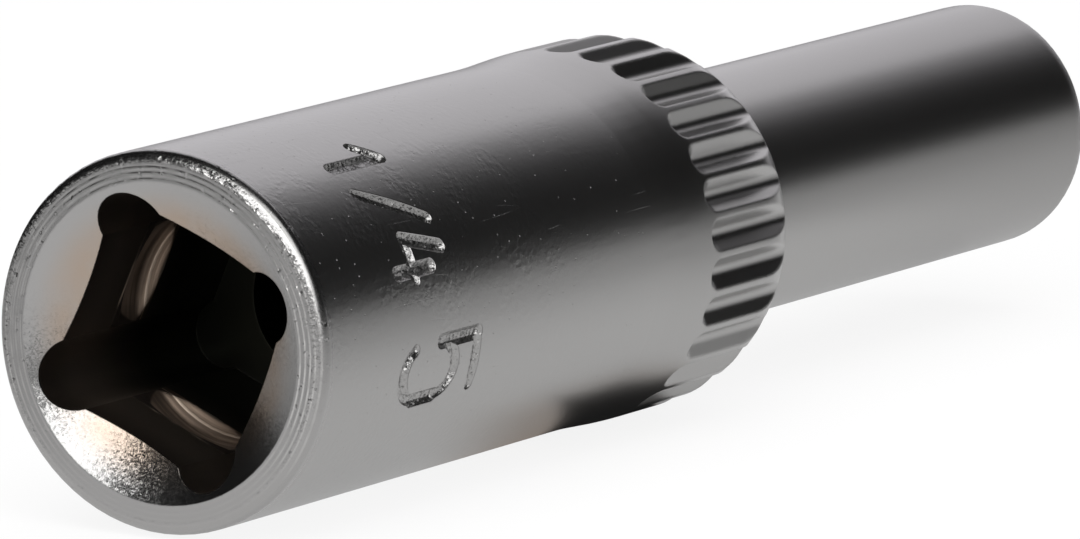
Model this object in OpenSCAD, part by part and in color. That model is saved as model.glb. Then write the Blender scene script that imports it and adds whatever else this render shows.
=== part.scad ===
// Deep hex socket with a quarter-inch square drive, lying on its side.
// The axis runs along +X: the drive end face is at x = 0 and the hex mouth points to +X.
// Each piece is drawn along +Z from its drive side, and lay_down() turns it onto the axis.

/* [Barrel] */
// Outside diameter of the barrel at the drive end
barrel_d = 11.2; // [11:0.1:13]
// Length of the socket from end face to end face
socket_len = 48.2; // [44:0.1:60]
// Rounding of the barrel's edge at the drive end
barrel_edge_r = 0.35; // [0.1:0.05:0.6]

/* [Drive square] */
// Width across the flats of the drive square
square_af = 6.45; // [6.4:0.05:6.6]
// Depth of the drive square below the end face
square_depth = 8.5; // [8:0.1:10]
// Radius of the round relief in each corner of the square
corner_relief_r = 1.05; // [0.9:0.05:1.2]
// Distance from the axis to the centre of each corner relief
corner_relief_offset = 3.45; // [3.3:0.05:3.5]
// Diameter of the lead-in dish at the end face
dish_d = 9.4; // [9.1:0.1:10]
// Included angle of the lead-in dish
dish_angle = 128; // [110:1:140]
// Distance from the end face to the middle of the detent groove
detent_from_end = 3.9; // [3.5:0.1:4.5]
// Width of the detent groove's floor
detent_floor_w = 0.9; // [0.6:0.1:1.4]
// Depth of the detent groove below the middle of a flat
detent_depth = 0.44; // [0.2:0.02:0.5]
// Angle of the detent groove's walls from its floor
detent_wall_angle = 43; // [30:1:60]

/* [Knurled grip ring] */
// Height of the grip ring's ribs above the barrel
grip_rise = 0.13; // [0.06:0.01:0.4]
// Distance from the end face to the full height of the grip ring
grip_from_end = 22.6; // [20:0.1:24]
// Length of the grip ring at its full height
grip_len = 2.4; // [2:0.1:5]
// Length of the swell between the barrel and the grip ring
swell_len = 4; // [1:0.1:6]
// Rounding of the shoulder between the grip ring and the nose
shoulder_r = 3; // [2:0.1:4]
// Number of flutes round the grip ring
flute_count = 30; // [20:1:30]
// Distance from the end face to the rounded tips of the flutes
flute_from_end = 21.5; // [20:0.1:24]
// Width of a flute between two ribs
flute_w = 1.06; // [0.6:0.02:1.08]
// Angle of a flute's walls from its floor
flute_wall_angle = 40; // [25:1:45]
// Radius of a flute's floor
flute_floor_r = 0.3; // [0.05:0.01:0.4]

/* [Size marks on the barrel] */
// Height of the large numeral, between the middles of its strokes
numeral_h = 3.9; // [2:0.1:5]
// Width of the large numeral, between the middles of its strokes
numeral_w = 1.64; // [1:0.02:2]
// Height of the small numerals, between the middles of their strokes
small_numeral_h = 2.6; // [1:0.1:4]
// Width of the small numerals, between the middles of their strokes
small_numeral_w = 1.3; // [1.2:0.02:1.6]
// Space from one small numeral's middle to the next
small_numeral_step = 1.7; // [1.4:0.1:2.5]
// Distance from the end face to the foot of the numerals
numeral_from_end = 4.45; // [3:0.05:8]
// Depth of a stroke below the barrel
stroke_depth = 0.16; // [0.05:0.01:0.2]
// Width of a stroke's flat floor
stroke_floor_w = 0.2; // [0.05:0.01:0.2]
// Roll of the large numeral about the axis
numeral_roll = 282.2; // [0:0.1:359.9]
// Roll of the small numerals about the axis
small_numeral_roll = 230; // [0:0.1:359.9]

/* [Nose] */
// Outside diameter of the nose
nose_d = 7.7; // [7.6:0.1:8.4]
// Rounding of the nose's edge at the hex mouth
nose_edge_r = 0.6; // [0.2:0.05:0.65]
// Fillet where the shoulder runs into the nose
nose_root_r = 0.4; // [0.2:0.05:0.6]

/* [Hex bore] */
// Width across the flats of the hex
hex_af = 5.05; // [5:0.01:5.1]
// Depth of the hex from the mouth
hex_depth = 11; // [9:0.5:14]
// Diameter of the lead-in chamfer at the mouth
hex_mouth_d = 6.2; // [6:0.05:6.4]
// Diameter of the round bore that joins the hex and the drive square
bore_d = 4.5; // [4:0.1:4.6]

/* [Magnet] */
// Length of the magnet that seats in the bore behind the hex
magnet_len = 5; // [3:0.5:8]
// Depth of the magnet's face below the floor of the hex
magnet_recess = 0.2; // [0:0.1:0.5]
// Bevel round both ends of the magnet
magnet_bevel = 0.25; // [0.1:0.05:0.4]
// Radial gap between the magnet and its bore
magnet_gap = 0.01; // [0.005:0.005:0.03]

/* [Retaining ring] */
// Diameter of the spring wire
wire_d = 0.5; // [0.4:0.05:0.6]
// Inside diameter of the ring, between the hex's flats and its corners
ring_inside_d = 5.4; // [5.3:0.05:5.5]
// Distance from the mouth to the middle of the ring
ring_from_mouth = 3.5; // [2.5:0.1:6]
// Angle that the ring's gap takes out of the full turn
ring_gap_angle = 40; // [20:5:90]
// Gap between the ring and its groove, at the outside and on each side
ring_gap = 0.04; // [0.02:0.01:0.08]

/* [Roll about the axis] */
// Roll of the drive square as the socket lies
square_roll = 23.7; // [0:0.1:89.9]
// Roll of the hex as the socket lies
hex_roll = 23.7; // [0:0.1:59.9]
// Roll of the first flute
flute_roll = 0.6; // [0:0.1:11.9]

/* [Hidden] */
$fn = 96;

barrel_r = barrel_d / 2;
grip_r = barrel_r + grip_rise;
nose_r = nose_d / 2;
bore_r = bore_d / 2;
dish_r = dish_d / 2;
grip_end = grip_from_end + grip_len;
swell_start = grip_from_end - swell_len;
flute_depth = flute_floor_r * (1 - cos(flute_wall_angle))
    + (flute_w / 2 - flute_floor_r * sin(flute_wall_angle)) * tan(flute_wall_angle);
hex_floor = socket_len - hex_depth;
hex_corner_r = hex_af / 2 / cos(30);
wire_r = wire_d / 2;
ring_mid_r = ring_inside_d / 2 + wire_r;
ring_place = socket_len - ring_from_mouth;
magnet_r = bore_r - magnet_gap;
magnet_face = hex_floor - magnet_recess;

// How far each cut runs past the surface that it opens
past = 1;

steel = [0.66, 0.65, 0.65];
nickel = [0.55, 0.54, 0.52];
spring_steel = [0.38, 0.38, 0.40];

// Turns a piece that stands on +Z so that it lies along +X, rolled about its own axis
module lay_down(roll = 0) {
    rotate([0, 90, 0]) rotate([0, 0, roll]) children();
}

// The corner left over when an outside edge at (r, z) is rounded; z_sign says which way the edge faces
module edge_waste(r, z, radius, z_sign) {
    translate([r - radius, z - z_sign * radius]) difference() {
        translate([0, z_sign > 0 ? 0 : -radius - past]) square(radius + past);
        circle(radius);
    }
}

// The swell from the barrel up to the grip ring: two equal arcs that meet halfway
module swell_profile() {
    half = swell_len / 2;
    arc_r = (pow(swell_len, 2) + pow(grip_rise, 2)) / (4 * grip_rise);
    difference() {
        translate([0, swell_start]) square([grip_r, half]);
        translate([barrel_r + arc_r, swell_start]) circle(arc_r, $fn = 180);
    }
    intersection() {
        translate([0, swell_start + half]) square([grip_r, half]);
        translate([grip_r - arc_r, grip_from_end]) circle(arc_r, $fn = 180);
    }
}

// The round shoulder behind the grip ring and the fillet that runs it out on the nose
module shoulder_profile() {
    arc_at = grip_r - shoulder_r;
    fillet_at = nose_r + nose_root_r;
    reach = sqrt(pow(shoulder_r + nose_root_r, 2) - pow(fillet_at - arc_at, 2));
    share = shoulder_r / (shoulder_r + nose_root_r);
    meet = [arc_at + share * (fillet_at - arc_at), grip_end + share * reach];
    intersection() {
        translate([0, grip_end]) square([grip_r, meet[1] - grip_end]);
        translate([arc_at, grip_end]) circle(shoulder_r, $fn = 180);
    }
    difference() {
        polygon([[0, meet[1]], meet, [fillet_at, grip_end + reach], [0, grip_end + reach]]);
        translate([fillet_at, grip_end + reach]) circle(nose_root_r);
    }
}

// Half of the outside shape, as it is turned on a lathe
module outside_profile() {
    difference() {
        union() {
            square([barrel_r, swell_start]);
            swell_profile();
            translate([0, grip_from_end]) square([grip_r, grip_len]);
            square([nose_r, socket_len]);
            shoulder_profile();
        }
        edge_waste(barrel_r, 0, barrel_edge_r, -1);
        edge_waste(nose_r, socket_len, nose_edge_r, 1);
    }
}

// Section across a flute, standing on its floor: a round floor between two straight walls
module flute_profile() {
    floor_half = flute_floor_r * sin(flute_wall_angle);
    floor_rise = flute_floor_r * (1 - cos(flute_wall_angle));
    rim_half = flute_w / 2;
    polygon([[floor_half, floor_rise], [rim_half, flute_depth], [rim_half, flute_depth + past],
             [-rim_half, flute_depth + past], [-rim_half, flute_depth], [-floor_half, floor_rise]]);
    translate([0, flute_floor_r]) circle(flute_floor_r);
}

// One flute beside the +X side of the axis: a round tip, then a straight run out through the shoulder
module flute() {
    translate([grip_r - flute_depth, 0, flute_from_end + flute_w / 2]) {
        rotate([0, 90, 0]) rotate_extrude() intersection() {
            flute_profile();
            square(grip_r);
        }
        linear_extrude(grip_end + shoulder_r - flute_from_end) rotate(-90) flute_profile();
    }
}

module flutes() {
    for (i = [0 : flute_count - 1])
        rotate([0, 0, flute_roll + i * 360 / flute_count]) flute();
}

// Section across a stamped stroke, standing on its floor: walls at 45 degrees that run out past the barrel
module stroke_section() {
    floor_half = stroke_floor_w / 2;
    rise = 2 * stroke_depth;
    polygon([[-floor_half, 0], [floor_half, 0], [floor_half + rise, rise], [-floor_half - rise, rise]]);
}

// The round end of a stroke
module stroke_end() {
    rise = 2 * stroke_depth;
    rotate([0, 90, 0]) cylinder(h = rise, r1 = stroke_floor_w / 2, r2 = stroke_floor_w / 2 + rise, $fn = 32);
}

// Puts its children on the stroke's floor under a point of the barrel: across and along, from the numeral's foot
module on_barrel(across, along) {
    rotate([0, 0, across / barrel_r * 180 / PI])
        translate([barrel_r - stroke_depth, 0, numeral_from_end + along]) children();
}

// A straight stroke between two points, each given as across and along
module stroke(start, end) {
    run = end - start;
    middle = (start + end) / 2;
    on_barrel(middle[0], middle[1]) rotate([-atan2(run[0], run[1]), 0, 0]) translate([0, 0, -norm(run) / 2]) {
        linear_extrude(norm(run)) rotate(-90) stroke_section();
        stroke_end();
        translate([0, 0, norm(run)]) stroke_end();
    }
}

// A bent stroke round a point, from one angle to another; 0 is down, 90 right and 180 up
module bend(along, radius, start, turn) {
    on_barrel(0, along) rotate([0, 90, 0]) rotate([0, 0, start]) {
        rotate_extrude(angle = turn) translate([radius, 0]) stroke_section();
        translate([radius, 0, 0]) rotate([0, -90, 0]) stroke_end();
        rotate([0, 0, turn]) translate([radius, 0, 0]) rotate([0, -90, 0]) stroke_end();
    }
}

// The hex's size in millimetres
module large_numeral() {
    half = numeral_w / 2;
    bowl_top = numeral_h / 2;
    stroke([-half, numeral_h], [half, numeral_h]);
    stroke([-half, bowl_top], [-half, numeral_h]);
    bend(bowl_top, half, 90, 180);
    stroke([half, half], [half, bowl_top]);
    bend(half, half, -70, 160);
}

// The drive's size in inches
module small_numerals() {
    half = small_numeral_w / 2;
    h = small_numeral_h;
    one = -small_numeral_step;
    four = small_numeral_step;
    stroke([one, 0], [one, h]);
    stroke([one - half, h - half], [one, h]);
    stroke([-half, 0], [half, h]);
    stroke([four + half / 2, 0], [four + half / 2, 0.7 * h]);
    stroke([four - half, h / 3], [four + half, h / 3]);
    stroke([four - half, h / 3], [four - half / 4, h]);
}

// The square hole with a round relief in each corner
module drive_square() {
    translate([0, 0, -past]) linear_extrude(square_depth + past) {
        intersection() {
            square(square_af, center = true);
            circle(corner_relief_offset + corner_relief_r / 2);
        }
        for (turn = [45 : 90 : 315])
            rotate(turn) translate([corner_relief_offset, 0]) rotate(180) circle(corner_relief_r);
    }
}

// The shallow cone that leads a drive into the square
module lead_in_dish() {
    cylinder(h = dish_r / tan(dish_angle / 2), r1 = dish_r, r2 = 0);
}

// The ring groove that catches the drive's ball, cut into the middle of each flat
module detent_groove() {
    floor_r = square_af / 2 + detent_depth;
    floor_half = detent_floor_w / 2;
    mouth_half = floor_half + (detent_depth + past) / tan(detent_wall_angle);
    translate([0, 0, detent_from_end]) rotate_extrude()
        polygon([[floor_r, -floor_half], [floor_r, floor_half],
                 [square_af / 2 - past, mouth_half], [square_af / 2 - past, -mouth_half]]);
}

// The hex, its lead-in chamfer and the groove for the retaining ring
module hex_bore() {
    translate([0, 0, hex_floor]) cylinder(h = hex_depth + past, r = hex_corner_r, $fn = 6);
    lead_r = hex_mouth_d / 2;
    translate([0, 0, socket_len - lead_r]) cylinder(h = lead_r, r1 = 0, r2 = lead_r);
    translate([0, 0, ring_place - wire_r - ring_gap])
        cylinder(h = wire_d + 2 * ring_gap, r = ring_mid_r + wire_r + ring_gap);
}

module socket_body() {
    color(steel) difference() {
        lay_down() rotate_extrude() outside_profile();
        lay_down() flutes();
        lay_down(numeral_roll) large_numeral();
        lay_down(small_numeral_roll) small_numerals();
        lay_down() lead_in_dish();
        lay_down(square_roll) drive_square();
        lay_down() detent_groove();
        lay_down() translate([0, 0, square_depth - past])
            cylinder(h = socket_len - square_depth, r = bore_r);
        lay_down(hex_roll) hex_bore();
    }
}

// A short cylinder with bevelled ends, pressed into the bore behind the hex
module bit_magnet() {
    color(nickel) lay_down() translate([0, 0, magnet_face - magnet_len]) {
        cylinder(h = magnet_bevel, r1 = magnet_r - magnet_bevel, r2 = magnet_r);
        translate([0, 0, magnet_bevel]) cylinder(h = magnet_len - 2 * magnet_bevel, r = magnet_r);
        translate([0, 0, magnet_len - magnet_bevel])
            cylinder(h = magnet_bevel, r1 = magnet_r, r2 = magnet_r - magnet_bevel);
    }
}

// An open ring of round spring wire; it grips the corners of what is pushed into the hex
module retaining_ring() {
    color(spring_steel) lay_down(hex_roll) translate([0, 0, ring_place])
        rotate([0, 0, ring_gap_angle / 2]) rotate_extrude(angle = 360 - ring_gap_angle)
            translate([ring_mid_r, 0]) circle(wire_r, $fn = 32);
}

socket_body();
bit_magnet();
retaining_ring();
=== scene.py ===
"""A deep hex socket in satin chrome, lying on a pale floor in a small dark studio."""
import math
from types import SimpleNamespace

import bpy
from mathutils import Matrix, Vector


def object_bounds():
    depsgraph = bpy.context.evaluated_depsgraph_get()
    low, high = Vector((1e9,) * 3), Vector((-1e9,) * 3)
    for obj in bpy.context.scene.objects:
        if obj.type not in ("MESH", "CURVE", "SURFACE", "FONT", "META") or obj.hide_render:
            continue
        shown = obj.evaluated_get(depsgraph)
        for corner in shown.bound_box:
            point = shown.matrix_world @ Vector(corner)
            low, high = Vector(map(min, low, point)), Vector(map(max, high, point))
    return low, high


MM = 0.001
RISES = (0.0, 1.0)
FALLS = (1.0, 0.0)

# Colours of the metals and of the painted shade and highlights on them, and how dark the plain ones are
# between their grains
CHROME = (0.40, 0.395, 0.39)
NOSE_SHADED_CHROME = (0.348, 0.342, 0.338)
TINTED_CHROME = (0.42, 0.345, 0.285)
RING_CREST_HIGHLIGHT = (0.60, 0.59, 0.58)
MOUTH_STEEL = (0.13, 0.105, 0.088)
DRIVE_STEEL = (0.26, 0.215, 0.18)
DEEP_SHADE_STEEL = (0.036, 0.037, 0.03)
GROOVE_SHADE = (0.05, 0.04, 0.034)
GROOVE_STREAKS_AND_SHADE = (0.15, 0.115, 0.09)
GROOVE_STEEL = (0.40, 0.31, 0.245)
GROOVE_WALL_STEEL = (0.44, 0.34, 0.265)
STREAK_AND_LIP_HIGHLIGHT = (0.70, 0.58, 0.47)
NICKEL = (0.55, 0.53, 0.49)
SPRING_STEEL = (0.30, 0.30, 0.31)
GRAIN_SHADE = 0.8

# Roughness by zone, and how far the grain varies it
OUTSIDE_ROUGHNESS = 0.285
END_ROUGHNESS = 0.27
DISH_ROUGHNESS = 0.24
DRIVE_ROUGHNESS = 0.42
GROOVE_ROUGHNESS = 0.65
NICKEL_ROUGHNESS = 0.3
SPRING_ROUGHNESS = 0.4
SATIN_SPREAD = 0.04
PLAIN_SPREAD = 0.1

# The drive end: where its finish changes, in millimetres from the end face and from the axis
DISH_ANGLE = 128.0
DISH_SLOPE = math.tan(math.radians(90.0 - DISH_ANGLE / 2.0))
DISH_RADIUS = 4.7
DISH_RIM = (DISH_RADIUS, DISH_RADIUS + 0.02)
DISH_TINT = (3.5, 4.6)
DISH_SIDE = (-2.5, -0.5)
DISH_SIDE_SHARE = (0.25, 1.0)
DRIVE_START = (0.03, 0.08)
DRIVE_DEPTH = 20.0
MOUTH_FADE = (0.5, 2.2)
# Deeper in, the walls darken into a painted shade
DEEP_SHADE_FADE = (2.6, 6.0)
END_FADE = (0.45, 0.60)
EDGE_START = (5.15, 5.3)
EDGE_END = (5.44, 5.54)
SQUARE_HALF = 3.225
SQUARE_ROLL = math.radians(23.7)

# The turned rings on the end face and the painted highlight on their crests, which are fainter towards its
# foot
RING_PLACE = 4.96
RING_PITCH = 0.17
RING_CREST = (0.2, 0.9)
RING_LAST = (5.18, 5.22)
RING_UP = (-4.5, 0.5)
RING_UP_SHARE = (0.05, 1.0)

# The detent groove, in millimetres from the end face, from the axis and from the middle of a flat
GROOVE_LIP = 2.95
GROOVE_START = (GROOVE_LIP, 3.05)
GROOVE_END = (4.75, 4.85)
GROOVE_RADII = (3.24, 3.29)
GROOVE_FLOOR_RADIUS = 3.68
GROOVE_FLOOR_END = 4.35
FLOOR_FADE = (4.30, GROOVE_FLOOR_END)
WALL_FADE = (4.15, 4.45)
WALL_WAVER = 0.6
LENS_CURVE = -2.2
LENS_FADE = (0.0, 0.2)
LINE_STRETCH = (4.5, 0.3, 0.3)
# Where each arc of the lens fades into painted shade at its ends, and how much is left
SHADED_ENDS = (1.0, 1.75)
SHADED_ENDS_SHARE = (1.0, 0.2)
# The painted highlight line along the groove, and the painted highlight on its lip
STREAK_PLACE = 4.56
STREAK_FADE = (0.015, 0.04)
LIP_FADE = (0.02, 0.05)
LIP_ENDS = (0.8, 1.2)

# Barrel, marks, grip ring and nose, in millimetres from the end face and from the axis
BARREL_SKIN = 5.585
BARREL_START = 0.4
BARREL_END = 18.6
MARKS_RADII = (5.55, 5.57)
MARKS_START = 3.9
MARKS_END = 9.0
RIBS_START = (20.5, 21.0)
RIBS_END = (27.0, 27.5)
# Where the nose's chrome darkens towards its far end, a painted shade
NOSE_SHADE_FADE = (26.5, 46.2)
NOSE_END = (46.7, 47.2)
POLISH_FADE = (8.0, 17.0)
POLISH_FADE_SHARE = (1.0, 0.25)

# The noises: features to the millimetre, and levels of finer detail
CLOUDS = (0.7, 2.0)
FINE_GRAIN = (14.0, 3.0)
RING_WEAR = (1.6, 1.0)
TURNING = (7.0, 2.0)
GROOVE_LINES = (1.0, 2.0)
LIP_HIGHLIGHT_BREAKS = (0.9, 1.0)
DENTS = (7.0, 2.0)
DISH_NOISE = (26.0, 1.0)
STAMP_NOISE = (9.0, 2.0)
POLISH_NOISE = (5.0, 2.0)
POLISH_CLOUDS = (0.8, 1.0)
HAIRLINES = (1.0, 0.0)
HAIRLINE_CLOUDS = (0.6, 1.0)
RIPPLES = (1.5, 2.0)
NICKEL_GRAIN = (8.0, 4.0)
SPRING_GRAIN = (12.0, 4.0)

# Between which values of its noise each pattern fades in, and what is left of it where it is faintest
TINT_PATCHES = (0.2, 0.6)
TINT_SHARE = (0.4, 1.0)
TURNING_PATCHES = (0.2, 0.7)
TURNING_SHARE = (0.4, 1.0)
RING_PATCHES = (0.3, 0.65)
RING_SHARE = (0.3, 1.0)
LINE_PATCHES = (0.36, 0.62)
LINE_SHARE = (0.25, 1.0)
LIP_PATCHES = (0.3, 0.5)
POLISH_PATCHES = (0.38, 0.62)
POLISH_SHARE = (0.25, 1.0)
HAIRLINE_PATCHES = (0.52, 0.66)

# Heights of the fine relief, in millimetres
SATIN_GRAIN = 0.0012
RIPPLE = 0.0015
TURNING_LINES = 0.02
RING_HEIGHT = 0.005
EDGE_DENTS = 0.02
DISH_GRAIN = 0.003
STAMP_GRAIN = 0.03
SPECK_DEPTH = 0.014
HAIRLINE_DEPTH = 0.0015
POLISH_MARKS = 0.013

# Pits on the barrel: cells to the millimetre, the share of them with a pit, and a pit's edge in cells
SPECK_CELLS = 3.6
SPECK_SHARE = 0.5
SPECK_EDGE = (0.02, 0.12)

# Hairlines on the barrel: how they run, and how wide they are in the noise that makes them
HAIRLINE_TURN = (0.5, 0.3, 0.6)
HAIRLINE_STRETCH = (0.08, 1.6, 1.6)
HAIRLINE_WIDTH = (0.002, 0.005)

# How far the edges are softened, in millimetres, and with how many samples
EDGE_SOFTNESS = 0.05
RIB_SOFTNESS = 0.14
NOSE_SOFTNESS = 0.5
GROOVE_SOFTNESS = 0.2
SOFT_SAMPLES = 4

# How far the facets of the grain tip, by zone, and how many facets and flecks there are to the millimetre
DISH_GLITTER = 0.12
EDGE_GLITTER = 0.12
STAMP_GLITTER = 0.5
RIM_GLITTER = 0.4
FACETS = 13.0
DISH_FACETS = 17.0
RIM_FLECKS = 8.0
FLECKED_SHARE = 0.14

# The camera: what it looks at and from where, in millimetres and degrees, and its lens
CAMERA_TARGET = (22.94, 1.21, -1.25)
CAMERA_DISTANCE = 366.0
CAMERA_AZIMUTH = -58.61
CAMERA_ELEVATION = 9.59
CAMERA_LENS = 402.2
SENSOR_WIDTH = 36.0
CLIP_START = 10.0

# The softboxes: centre and aim in metres, width, height, how bright a mirror shows them, and colour
WHITE = (1.0, 1.0, 1.0)
COOL = (1.0, 0.98, 1.02)
MIDDLE = (0.0, 0.0, 0.0)
MIRRORED_LAMPS = {
    "far_softbox": ((1.0, 0.785, 0.72), (0.0, 0.785, 0.72), 1.53, 1.36, 0.905, COOL),
    "far_fringe": ((1.0, -0.075, 0.72), (0.0, -0.075, 0.72), 0.19, 1.36, 0.32, COOL),
    "front_softbox": ((-0.81, -0.03, 0.41), MIDDLE, 0.54, 0.42, 3.2, WHITE),
    "edge_softbox": ((-0.36, -0.38, 0.60), MIDDLE, 0.90, 0.70, 1.7, WHITE),
    "side_softbox": ((-0.44, -0.56, 0.30), MIDDLE, 0.45, 0.50, 1.7, WHITE),
}
UNMIRRORED_LAMPS = {
    "overhead_softbox": ((0.0, 0.0, 0.9), MIDDLE, 1.2, 1.2, 1.8, WHITE),
}
STUDIO_DARK = (0.005, 0.005, 0.005)

# The floor: its size in metres, and how much of its look to the camera and to metal is a glow
FLOOR_RADIUS = 1.22
RIM_RADIUS = 1.27
RIM_HEIGHT = 0.087
FLOOR_SIDES = 128
FLOOR_WHITE = (0.92, 0.92, 0.92)
SEEN_GLOW = 0.88
MIRRORED_GLOW = 0.7

# The pool of light on the floor that metal mirrors, in millimetres from the axis and from the end face
POOL_REACH = (-5.0, 35.0)
POOL_GLOW = (0.82, 0.36)
BACK_REACH = (8.0, 30.0)
BACK_SHARE = (1.0, 0.6)
DIP_START = (42.0, 54.0)
DIP_END = (80.0, 120.0)
DIP_DEPTH = 0.22
BEHIND_ALONG = (60.0, 120.0)
BEHIND_ACROSS = (0.0, 30.0)

# The painted shade and painted contact shadow under the socket that metal mirrors, in millimetres from the
# axis and from the end face
SHADE_COLOUR = (0.58, 0.50, 0.44)
SHADE_START = (10.0, 18.5)
SHADE_WIDTH = (3.65, 5.65)
CONTACT_SHADOW_COLOUR = (0.02, 0.02, 0.02)
CONTACT_SHADOW_START = (18.9, 19.5)
CONTACT_SHADOW_SLANT = 0.24
CONTACT_SHADOW_WIDTH = (3.95, 4.55)
UNDER_END = (25.0, 25.4)


class Nodes:
    """A material's node tree, and short ways to add nodes to it."""

    def __init__(self, name):
        self.material = bpy.data.materials.new(name)
        self.material.use_nodes = True
        self.tree = self.material.node_tree
        self.tree.nodes.clear()
        self.shader = self.tree.nodes.new("ShaderNodeBsdfPrincipled")
        self.output = self.tree.nodes.new("ShaderNodeOutputMaterial")
        self.feed(self.output.inputs["Surface"], self.shader.outputs[0])

    def feed(self, socket, value):
        """Links a socket to another, or sets it to a constant."""
        if isinstance(value, bpy.types.NodeSocket):
            self.tree.links.new(value, socket)
        else:
            socket.default_value = value

    def add(self, kind, **inputs):
        node = self.tree.nodes.new(kind)
        for name, value in inputs.items():
            self.feed(node.inputs[name.replace("_", " ")], value)
        return node

    def operate(self, kind, operation, values):
        node = self.tree.nodes.new(kind)
        node.operation = operation
        for socket, value in zip(node.inputs, values):
            self.feed(socket, value)
        return node

    def math(self, operation, *values):
        return self.operate("ShaderNodeMath", operation, values).outputs[0]

    def product(self, *values):
        result = values[0]
        for value in values[1:]:
            result = self.math("MULTIPLY", result, value)
        return result

    def total(self, *values):
        result = values[0]
        for value in values[1:]:
            result = self.math("ADD", result, value)
        return result

    def distance(self, value, place):
        return self.math("ABSOLUTE", self.math("SUBTRACT", value, place))

    def rest(self, share):
        return self.math("SUBTRACT", 1.0, share)

    def ramp(self, value, bounds, ends=RISES):
        """From one end to the other between two bounds, with a smooth step."""
        node = self.add("ShaderNodeMapRange", Value=value, From_Min=bounds[0], From_Max=bounds[1],
                        To_Min=ends[0], To_Max=ends[1])
        node.interpolation_type = "SMOOTHSTEP"
        return node.outputs["Result"]

    def mix(self, kind, values, sockets, output):
        """Mixes values of one kind; sockets and output are that kind's places on the node."""
        node = self.tree.nodes.new("ShaderNodeMix")
        node.data_type = kind
        for index, value in zip(sockets, values):
            self.feed(node.inputs[index], value)
        return node.outputs[output]

    def between(self, share, first, second):
        """A value between two values."""
        return self.mix("FLOAT", (share, first, second), (0, 2, 3), 0)

    def direction(self, share, first, second):
        """A direction between two directions."""
        return self.mix("VECTOR", (share, first, second), (0, 4, 5), 1)

    def tint(self, share, first, second):
        """A colour between two colours."""
        pair = [(*value, 1.0) if isinstance(value, tuple) else value for value in (first, second)]
        return self.mix("RGBA", (share, *pair), (0, 6, 7), 2)

    def mixed(self, share, first, second):
        """A shader between two shaders."""
        node = self.tree.nodes.new("ShaderNodeMixShader")
        for socket, value in zip(node.inputs, (share, first.outputs[0], second.outputs[0])):
            self.feed(socket, value)
        return node

    def noise(self, place, scale, detail):
        return self.add("ShaderNodeTexNoise", Vector=place, Scale=scale, Detail=detail).outputs["Fac"]

    def waves(self, place, scale, detail):
        """Noise round zero."""
        return self.math("SUBTRACT", self.noise(place, scale, detail), 0.5)

    def cells(self, place, scale):
        return self.add("ShaderNodeTexVoronoi", Vector=place, Scale=scale).outputs

    def chosen(self, cells, share):
        """1 in a share of the cells, and 0 in the others."""
        chance = self.add("ShaderNodeSeparateColor", Color=cells["Color"]).outputs[0]
        return self.math("LESS_THAN", chance, share)

    def parts(self, vector):
        return self.add("ShaderNodeSeparateXYZ", Vector=vector).outputs

    def vector(self, x, y, z):
        return self.add("ShaderNodeCombineXYZ", X=x, Y=y, Z=z).outputs[0]

    def vector_math(self, operation, *values):
        return self.operate("ShaderNodeVectorMath", operation, values).outputs[0]

    def scaled(self, vector, scale):
        node = self.operate("ShaderNodeVectorMath", "SCALE", (vector,))
        self.feed(node.inputs["Scale"], scale)
        return node.outputs[0]

    def place(self):
        """The point's place in millimetres."""
        return self.scaled(self.tree.nodes.new("ShaderNodeTexCoord").outputs["Object"], 1 / MM)

    def tipped(self, direction, chance, amount):
        """A direction, tipped by chance values from 0 to 1."""
        offset = self.vector_math("SUBTRACT", chance, (0.5, 0.5, 0.5))
        return self.vector_math("ADD", direction, self.scaled(offset, amount))

    def metal(self, colour, roughness):
        self.feed(self.shader.inputs["Base Color"], colour)
        self.feed(self.shader.inputs["Roughness"], roughness)
        self.feed(self.shader.inputs["Metallic"], 1.0)


def from_plane(nodes, at, roll):
    """The distance from a plane through the axis."""
    turned = nodes.product(at.across, math.sin(roll))
    return nodes.math("ABSOLUTE", nodes.math("MULTIPLY_ADD", at.up, -math.cos(roll), turned))


def socket_places(nodes):
    """Where a point is on the socket, in millimetres, and the direction straight away from the axis."""
    at = SimpleNamespace(place=nodes.place())
    at.along, at.across, at.up = nodes.parts(at.place)
    squared = nodes.math("MULTIPLY_ADD", at.up, at.up, nodes.product(at.across, at.across))
    at.radius = nodes.math("SQRT", squared)
    first = from_plane(nodes, at, SQUARE_ROLL)
    second = from_plane(nodes, at, SQUARE_ROLL + math.pi / 2)
    past_flat = nodes.math("SUBTRACT", nodes.math("MAXIMUM", first, second), SQUARE_HALF)
    at.hollow = nodes.math("MAXIMUM", past_flat, 0.0)
    at.from_middle = nodes.math("MINIMUM", first, second)
    dish_depth = nodes.product(nodes.math("SUBTRACT", DISH_RADIUS, at.radius), DISH_SLOPE)
    at.below_dish = nodes.math("SUBTRACT", at.along, dish_depth)
    at.outward = nodes.vector_math("NORMALIZE", nodes.vector(0.0, at.across, at.up))
    return at


def end_zones(nodes, at, zone):
    """Adds the shares from 0 to 1 that say where a point is on the drive end."""
    within = nodes.ramp(at.radius, DISH_RIM, FALLS)
    in_end = nodes.ramp(at.along, END_FADE, FALLS)
    zone.drive = nodes.product(nodes.ramp(at.below_dish, DRIVE_START), within,
                               nodes.math("LESS_THAN", at.along, DRIVE_DEPTH))
    zone.dish = nodes.product(nodes.ramp(at.below_dish, DRIVE_START, FALLS), within)
    zone.grainy_dish = nodes.product(zone.dish, nodes.ramp(at.across, DISH_SIDE, DISH_SIDE_SHARE))
    zone.rim = nodes.product(in_end, nodes.ramp(at.radius, DISH_RIM))
    zone.edge = nodes.product(in_end, nodes.ramp(at.radius, EDGE_START),
                              nodes.ramp(at.radius, EDGE_END, FALLS))
    zone.rings = nodes.product(zone.rim, nodes.ramp(at.up, RING_UP, RING_UP_SHARE),
                               nodes.ramp(nodes.noise(at.place, *RING_WEAR), RING_PATCHES, RING_SHARE))


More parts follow.
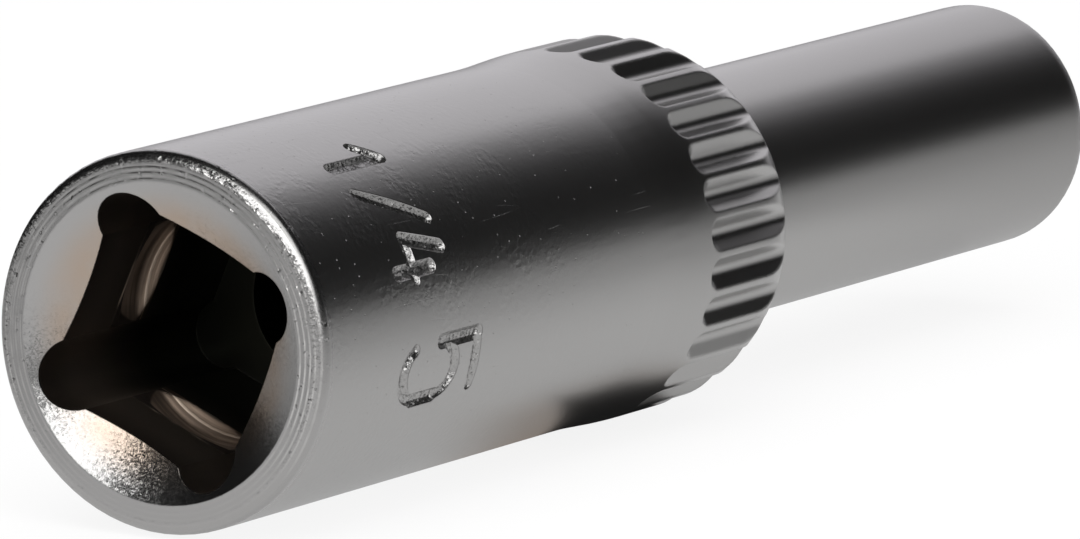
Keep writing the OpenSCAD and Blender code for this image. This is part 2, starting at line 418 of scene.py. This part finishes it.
def groove_zones(nodes, at, zone):
    """Adds the shares from 0 to 1 that say where a point is in the detent groove."""
    zone.groove = nodes.product(nodes.ramp(at.along, GROOVE_START),
                                nodes.ramp(at.along, GROOVE_END, FALLS),
                                nodes.ramp(at.radius, GROOVE_RADII),
                                nodes.math("LESS_THAN", at.radius, GROOVE_FLOOR_RADIUS), zone.drive)
    zone.groove_floor = nodes.product(zone.groove, nodes.ramp(at.along, FLOOR_FADE, FALLS))
    # Where the painted highlight on the groove's lip lies; the lip is also rougher.
    zone.lip = nodes.product(zone.drive,
                             nodes.ramp(nodes.distance(at.along, GROOVE_LIP), LIP_FADE, FALLS),
                             nodes.ramp(at.from_middle, LIP_ENDS, FALLS),
                             nodes.ramp(nodes.noise(at.place, *LIP_HIGHLIGHT_BREAKS), LIP_PATCHES))


def outside_zones(nodes, at, zone):
    """Adds the shares from 0 to 1 that say where a point is on the outside."""
    zone.marks = nodes.product(nodes.ramp(at.radius, MARKS_RADII, FALLS),
                               nodes.math("GREATER_THAN", at.radius, DISH_RADIUS),
                               nodes.math("GREATER_THAN", at.along, MARKS_START),
                               nodes.math("LESS_THAN", at.along, MARKS_END))
    zone.barrel = nodes.product(nodes.math("GREATER_THAN", at.radius, BARREL_SKIN),
                                nodes.math("GREATER_THAN", at.along, BARREL_START),
                                nodes.math("LESS_THAN", at.along, BARREL_END))
    zone.ribs = nodes.product(nodes.ramp(at.along, RIBS_START), nodes.ramp(at.along, RIBS_END, FALLS))
    zone.nose_end = nodes.ramp(at.along, NOSE_END)


def socket_noises(nodes, at):
    """The noises and waves that more than one part of the finish uses."""
    chance = SimpleNamespace()
    chance.cloud = nodes.noise(at.place, *CLOUDS)
    chance.fine = nodes.noise(at.place, *FINE_GRAIN)
    chance.turned = nodes.waves(nodes.vector(at.radius, at.along, 0.0), *TURNING)
    from_ring = nodes.math("SUBTRACT", at.radius, RING_PLACE)
    chance.ring_turn = nodes.product(from_ring, math.tau / RING_PITCH)
    return chance


def groove_colour(nodes, at, zone, chance, colour):
    """Painted shade over the groove, save a lens of streaky turned steel where light falls, its ends in
    painted shade; a painted highlight line in it and a painted highlight on the lip.
    """
    wavering = nodes.math("MULTIPLY_ADD", chance.turned, WALL_WAVER, at.along)
    steel = nodes.tint(nodes.ramp(wavering, WALL_FADE), GROOVE_STEEL, GROOVE_WALL_STEEL)
    bow = nodes.math("SQRT", at.hollow)
    lens_start = nodes.math("MULTIPLY_ADD", bow, LENS_CURVE, GROOVE_FLOOR_END)
    past_start = nodes.math("SUBTRACT", at.along, lens_start)
    lit_lens = nodes.product(zone.groove, nodes.ramp(past_start, LENS_FADE))
    spot = (at.along, at.across, at.up)
    stretched = [nodes.product(part, stretch) for part, stretch in zip(spot, LINE_STRETCH)]
    lines = nodes.noise(nodes.vector(*stretched), *GROOVE_LINES)
    # The lens is darker between its turned streaks, and fades into painted shade at the ends of each arc.
    clean_and_lit = nodes.product(nodes.ramp(lines, LINE_PATCHES, LINE_SHARE),
                          nodes.ramp(at.from_middle, SHADED_ENDS, SHADED_ENDS_SHARE))
    # Painted shade over the groove, save the lens where light falls, which takes lighter steel.
    colour = nodes.tint(zone.groove, colour, GROOVE_SHADE)
    colour = nodes.tint(lit_lens, colour, nodes.tint(clean_and_lit, GROOVE_STREAKS_AND_SHADE, steel))
    # A painted highlight line along the groove, and a painted highlight on its lip.
    off_streak = nodes.distance(at.along, STREAK_PLACE)
    highlight_line = nodes.product(zone.groove, nodes.ramp(off_streak, STREAK_FADE, FALLS))
    return nodes.tint(nodes.math("MAXIMUM", highlight_line, zone.lip), colour, STREAK_AND_LIP_HIGHLIGHT)


def socket_colour(nodes, at, zone, chance):
    # The nose's chrome darkens towards its far end: a painted shade.
    plate = nodes.tint(nodes.ramp(at.along, NOSE_SHADE_FADE), CHROME, NOSE_SHADED_CHROME)
    tinted = nodes.product(zone.dish, nodes.ramp(at.radius, DISH_TINT, FALLS),
                           nodes.ramp(chance.cloud, TINT_PATCHES, TINT_SHARE))
    colour = nodes.tint(tinted, plate, TINTED_CHROME)
    # Lighter crests on the turned rings: a painted highlight.
    crest = nodes.ramp(nodes.math("COSINE", chance.ring_turn), RING_CREST)
    colour = nodes.tint(nodes.product(crest, zone.rings), colour, RING_CREST_HIGHLIGHT)
    # The drive square's walls: darker at the mouth, and darkening deeper in as a painted shade.
    wall = nodes.tint(nodes.ramp(at.along, MOUTH_FADE), MOUTH_STEEL, DRIVE_STEEL)
    wall = nodes.tint(nodes.ramp(at.along, DEEP_SHADE_FADE), wall, DEEP_SHADE_STEEL)
    colour = nodes.tint(zone.drive, colour, wall)
    return groove_colour(nodes, at, zone, chance, colour)


def grainy_roughness(nodes, grain, spread, roughness):
    return nodes.math("MULTIPLY_ADD", grain, spread, roughness - spread / 2)


def socket_roughness(nodes, zone, chance):
    roughness = grainy_roughness(nodes, chance.fine, SATIN_SPREAD, OUTSIDE_ROUGHNESS)
    dull = nodes.math("MAXIMUM", zone.groove_floor, zone.lip)
    for share, value in ((zone.rim, END_ROUGHNESS), (zone.dish, DISH_ROUGHNESS),
                         (zone.drive, DRIVE_ROUGHNESS), (dull, GROOVE_ROUGHNESS)):
        roughness = nodes.between(share, roughness, value)
    return roughness


def pits(nodes, at):
    """Round pits in a share of the cells of a grid."""
    cells = nodes.cells(at.place, SPECK_CELLS)
    bowl = nodes.ramp(cells["Distance"], SPECK_EDGE, FALLS)
    return nodes.product(bowl, nodes.chosen(cells, SPECK_SHARE), -SPECK_DEPTH)


def hairlines(nodes, at):
    """Faint scratches that run askew to the axis."""
    turned = nodes.add("ShaderNodeMapping", Vector=at.place, Rotation=HAIRLINE_TURN,
                       Scale=HAIRLINE_STRETCH)
    wander = nodes.math("ABSOLUTE", nodes.waves(turned.outputs[0], *HAIRLINES))
    worn = nodes.ramp(nodes.noise(at.place, *HAIRLINE_CLOUDS), HAIRLINE_PATCHES)
    return nodes.product(nodes.ramp(wander, HAIRLINE_WIDTH, FALLS), worn, -HAIRLINE_DEPTH)


def polishing(nodes, at):
    """Patches of uneven polish, strongest towards the drive end."""
    fade = nodes.ramp(at.along, POLISH_FADE, POLISH_FADE_SHARE)
    patches = nodes.ramp(nodes.noise(at.place, *POLISH_CLOUDS), POLISH_PATCHES, POLISH_SHARE)
    return nodes.product(nodes.waves(at.place, *POLISH_NOISE), fade, patches, POLISH_MARKS)


def socket_relief(nodes, at, zone, chance):
    """The height of the fine relief, in millimetres."""
    satin = nodes.product(chance.fine, SATIN_GRAIN)
    ripple = nodes.product(nodes.waves(at.place, *RIPPLES), RIPPLE)
    lines = nodes.product(chance.turned, nodes.math("MAXIMUM", zone.rings, zone.groove),
                          nodes.ramp(chance.cloud, TURNING_PATCHES, TURNING_SHARE), TURNING_LINES)
    rings = nodes.product(nodes.math("SINE", chance.ring_turn), zone.rings,
                          nodes.ramp(at.radius, RING_LAST, FALLS), -RING_HEIGHT)
    dents = nodes.product(nodes.waves(at.place, *DENTS), zone.edge, EDGE_DENTS)
    dish = nodes.product(nodes.waves(at.place, *DISH_NOISE), zone.grainy_dish, DISH_GRAIN)
    stamp = nodes.product(nodes.waves(at.place, *STAMP_NOISE), zone.marks, STAMP_GRAIN)
    wear = nodes.total(pits(nodes, at), hairlines(nodes, at), polishing(nodes, at))
    worn = nodes.product(wear, zone.barrel)
    return nodes.total(satin, ripple, lines, rings, dents, nodes.total(dish, stamp), worn)


def socket_facing(nodes, at, zone):
    """The way the surface faces: softened edges, a true cylinder on the barrel, and facets that glitter."""
    softness = EDGE_SOFTNESS * MM
    for share, value in ((zone.ribs, RIB_SOFTNESS), (zone.nose_end, NOSE_SOFTNESS),
                         (zone.groove, GROOVE_SOFTNESS)):
        softness = nodes.between(share, softness, value * MM)
    soft = nodes.add("ShaderNodeBevel", Radius=softness)
    soft.samples = SOFT_SAMPLES
    facing = nodes.direction(zone.barrel, soft.outputs[0], at.outward)
    facets = nodes.cells(at.place, nodes.between(zone.dish, FACETS, DISH_FACETS))
    flecks = nodes.chosen(nodes.cells(at.place, RIM_FLECKS), FLECKED_SHARE)
    glitter = nodes.total(nodes.product(zone.grainy_dish, DISH_GLITTER),
                          nodes.product(zone.edge, EDGE_GLITTER),
                          nodes.product(zone.marks, STAMP_GLITTER),
                          nodes.product(flecks, zone.rings, RIM_GLITTER))
    return nodes.tipped(facing, facets["Color"], glitter)


def satin_chrome():
    """Satin plate with a turned end face, a grainy lead-in dish and darker steel in the drive square, with
    painted shade and highlights in its colour.
    """
    nodes = Nodes("satin_chrome")
    at = socket_places(nodes)
    zone = SimpleNamespace()
    end_zones(nodes, at, zone)
    groove_zones(nodes, at, zone)
    outside_zones(nodes, at, zone)
    chance = socket_noises(nodes, at)
    nodes.metal(socket_colour(nodes, at, zone, chance), socket_roughness(nodes, zone, chance))
    bump = nodes.add("ShaderNodeBump", Height=socket_relief(nodes, at, zone, chance), Strength=1.0,
                     Distance=MM, Normal=socket_facing(nodes, at, zone))
    nodes.feed(nodes.shader.inputs["Normal"], bump.outputs[0])
    return nodes.material


def plain_metal(name, colour, roughness, grain):
    """A plated or drawn metal with a fine grain."""
    nodes = Nodes(name)
    fine = nodes.noise(nodes.place(), *grain)
    darker = tuple(GRAIN_SHADE * part for part in colour)
    nodes.metal(nodes.tint(fine, darker, colour), grainy_roughness(nodes, fine, PLAIN_SPREAD, roughness))
    return nodes.material


def floor_material():
    """White to the camera, with the socket's shadow kept; metal mirrors it dimmer, as a painted pool of
    light with a painted shade and contact shadow in it.
    """
    nodes = Nodes("pale_floor")
    nodes.feed(nodes.shader.inputs["Base Color"], (*FLOOR_WHITE, 1.0))
    nodes.feed(nodes.shader.inputs["Roughness"], 1.0)
    nodes.feed(nodes.shader.inputs["Specular IOR Level"], 0.0)
    along, across = nodes.parts(nodes.place())[:2]
    away = nodes.math("ABSOLUTE", across)

    behind = nodes.product(nodes.ramp(along, BEHIND_ALONG), nodes.ramp(across, BEHIND_ACROSS))
    dip = nodes.product(nodes.ramp(along, DIP_START), nodes.ramp(along, DIP_END, FALLS), DIP_DEPTH)
    pool = nodes.product(nodes.ramp(away, POOL_REACH, POOL_GLOW),
                         nodes.ramp(across, BACK_REACH, BACK_SHARE),
                         nodes.rest(dip), nodes.rest(behind))

    # What metal mirrors of the floor holds a painted shade and a painted contact shadow under the socket.
    before_end = nodes.ramp(along, UNDER_END, FALLS)
    shade = nodes.product(nodes.ramp(along, SHADE_START), before_end,
                          nodes.ramp(away, SHADE_WIDTH, FALLS))
    slanted = nodes.math("MULTIPLY_ADD", away, CONTACT_SHADOW_SLANT, along)
    contact_shadow = nodes.product(nodes.ramp(slanted, CONTACT_SHADOW_START), before_end,
                            nodes.ramp(away, CONTACT_SHADOW_WIDTH, FALLS))
    mirrored_colour = nodes.tint(contact_shadow, nodes.tint(shade, WHITE, SHADE_COLOUR), CONTACT_SHADOW_COLOUR)

    path = nodes.tree.nodes.new("ShaderNodeLightPath").outputs
    mirrored = nodes.math("MAXIMUM", path["Is Glossy Ray"], path["Is Transmission Ray"])
    white = nodes.add("ShaderNodeEmission", Strength=1.0)
    mirror_glow = nodes.add("ShaderNodeEmission", Color=mirrored_colour, Strength=pool)
    dark = nodes.math("MAXIMUM", contact_shadow, behind)
    in_mirror = nodes.mixed(nodes.math("MAXIMUM", dark, MIRRORED_GLOW), nodes.shader, mirror_glow)
    in_camera = nodes.mixed(SEEN_GLOW, nodes.shader, white)
    surface = nodes.mixed(mirrored, nodes.shader, in_mirror)
    surface = nodes.mixed(path["Is Camera Ray"], surface, in_camera)
    nodes.feed(nodes.output.inputs["Surface"], surface.outputs[0])
    return nodes.material


def add_to_scene(name, data):
    thing = bpy.data.objects.new(name, data)
    bpy.context.scene.collection.objects.link(thing)
    return thing


def aim_along(thing, direction):
    thing.rotation_mode = "QUATERNION"
    thing.rotation_quaternion = direction.to_track_quat("-Z", "Y")


def add_floor(height):
    """A wide disc, centred under the drive end, that turns up at its rim as the backdrop."""
    turns = [math.tau * i / FLOOR_SIDES for i in range(FLOOR_SIDES)]
    rings = ((FLOOR_RADIUS, 0.0), (RIM_RADIUS, RIM_HEIGHT))
    points = [(radius * math.cos(turn), radius * math.sin(turn), up)
              for radius, up in rings for turn in turns]
    faces = [tuple(range(FLOOR_SIDES))]
    for i in range(FLOOR_SIDES):
        after = (i + 1) % FLOOR_SIDES
        faces.append((i, FLOOR_SIDES + i, FLOOR_SIDES + after, after))
    mesh = bpy.data.meshes.new("floor")
    mesh.from_pydata(points, [], faces)
    mesh.materials.append(floor_material())
    floor = add_to_scene("floor", mesh)
    floor.location = (0.0, 0.0, height)


def softbox(name, centre, aim, width, height, radiance, colour, glossy):
    """An area lamp that the camera doesn't see, and that metal mirrors where glossy is true."""
    lamp = bpy.data.lights.new(name, "AREA")
    lamp.color = colour
    lamp.shape = "RECTANGLE"
    lamp.size = width
    lamp.size_y = height
    lamp.energy = radiance * math.pi * width * height
    box = add_to_scene(name, lamp)
    box.location = centre
    aim_along(box, Vector(aim) - Vector(centre))
    box.visible_camera = False
    box.visible_glossy = glossy


def add_lamps():
    for lamps, glossy in ((MIRRORED_LAMPS, True), (UNMIRRORED_LAMPS, False)):
        for name, values in lamps.items():
            softbox(name, *values, glossy)


def add_world():
    world = bpy.data.worlds.new("studio")
    bpy.context.scene.world = world
    world.use_nodes = True
    world.node_tree.nodes["Background"].inputs["Color"].default_value = (*STUDIO_DARK, 1.0)


def add_camera():
    azimuth = math.radians(CAMERA_AZIMUTH)
    elevation = math.radians(CAMERA_ELEVATION)
    level = math.cos(elevation)
    back = Vector((math.sin(azimuth) * level, -math.cos(azimuth) * level, math.sin(elevation)))
    data = bpy.data.cameras.new("camera")
    data.lens = CAMERA_LENS
    data.sensor_width = SENSOR_WIDTH
    data.clip_start = CLIP_START * MM
    camera = add_to_scene("camera", data)
    camera.location = (Vector(CAMERA_TARGET) + back * CAMERA_DISTANCE) * MM
    aim_along(camera, -back)
    bpy.context.scene.camera = camera


def dress(node, material):
    """Puts a finish on a CAD node."""
    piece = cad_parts[node]
    piece.data.materials.clear()
    piece.data.materials.append(material)


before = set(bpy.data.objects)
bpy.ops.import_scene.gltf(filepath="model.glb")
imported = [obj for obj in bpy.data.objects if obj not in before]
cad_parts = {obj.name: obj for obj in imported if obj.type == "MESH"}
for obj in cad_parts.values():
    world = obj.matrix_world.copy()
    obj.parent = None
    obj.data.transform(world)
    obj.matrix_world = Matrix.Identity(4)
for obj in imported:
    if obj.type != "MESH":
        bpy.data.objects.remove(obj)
cad_low, cad_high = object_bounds()

bpy.context.scene.view_settings.view_transform = "Standard"
add_camera()
add_world()
add_lamps()
add_floor(cad_low.z)
dress("socket_body", satin_chrome())
nickel_plate = plain_metal("nickel_plate", NICKEL, NICKEL_ROUGHNESS, NICKEL_GRAIN)
dress("bit_magnet", nickel_plate)
spring_wire = plain_metal("spring_wire", SPRING_STEEL, SPRING_ROUGHNESS, SPRING_GRAIN)
dress("retaining_ring", spring_wire)
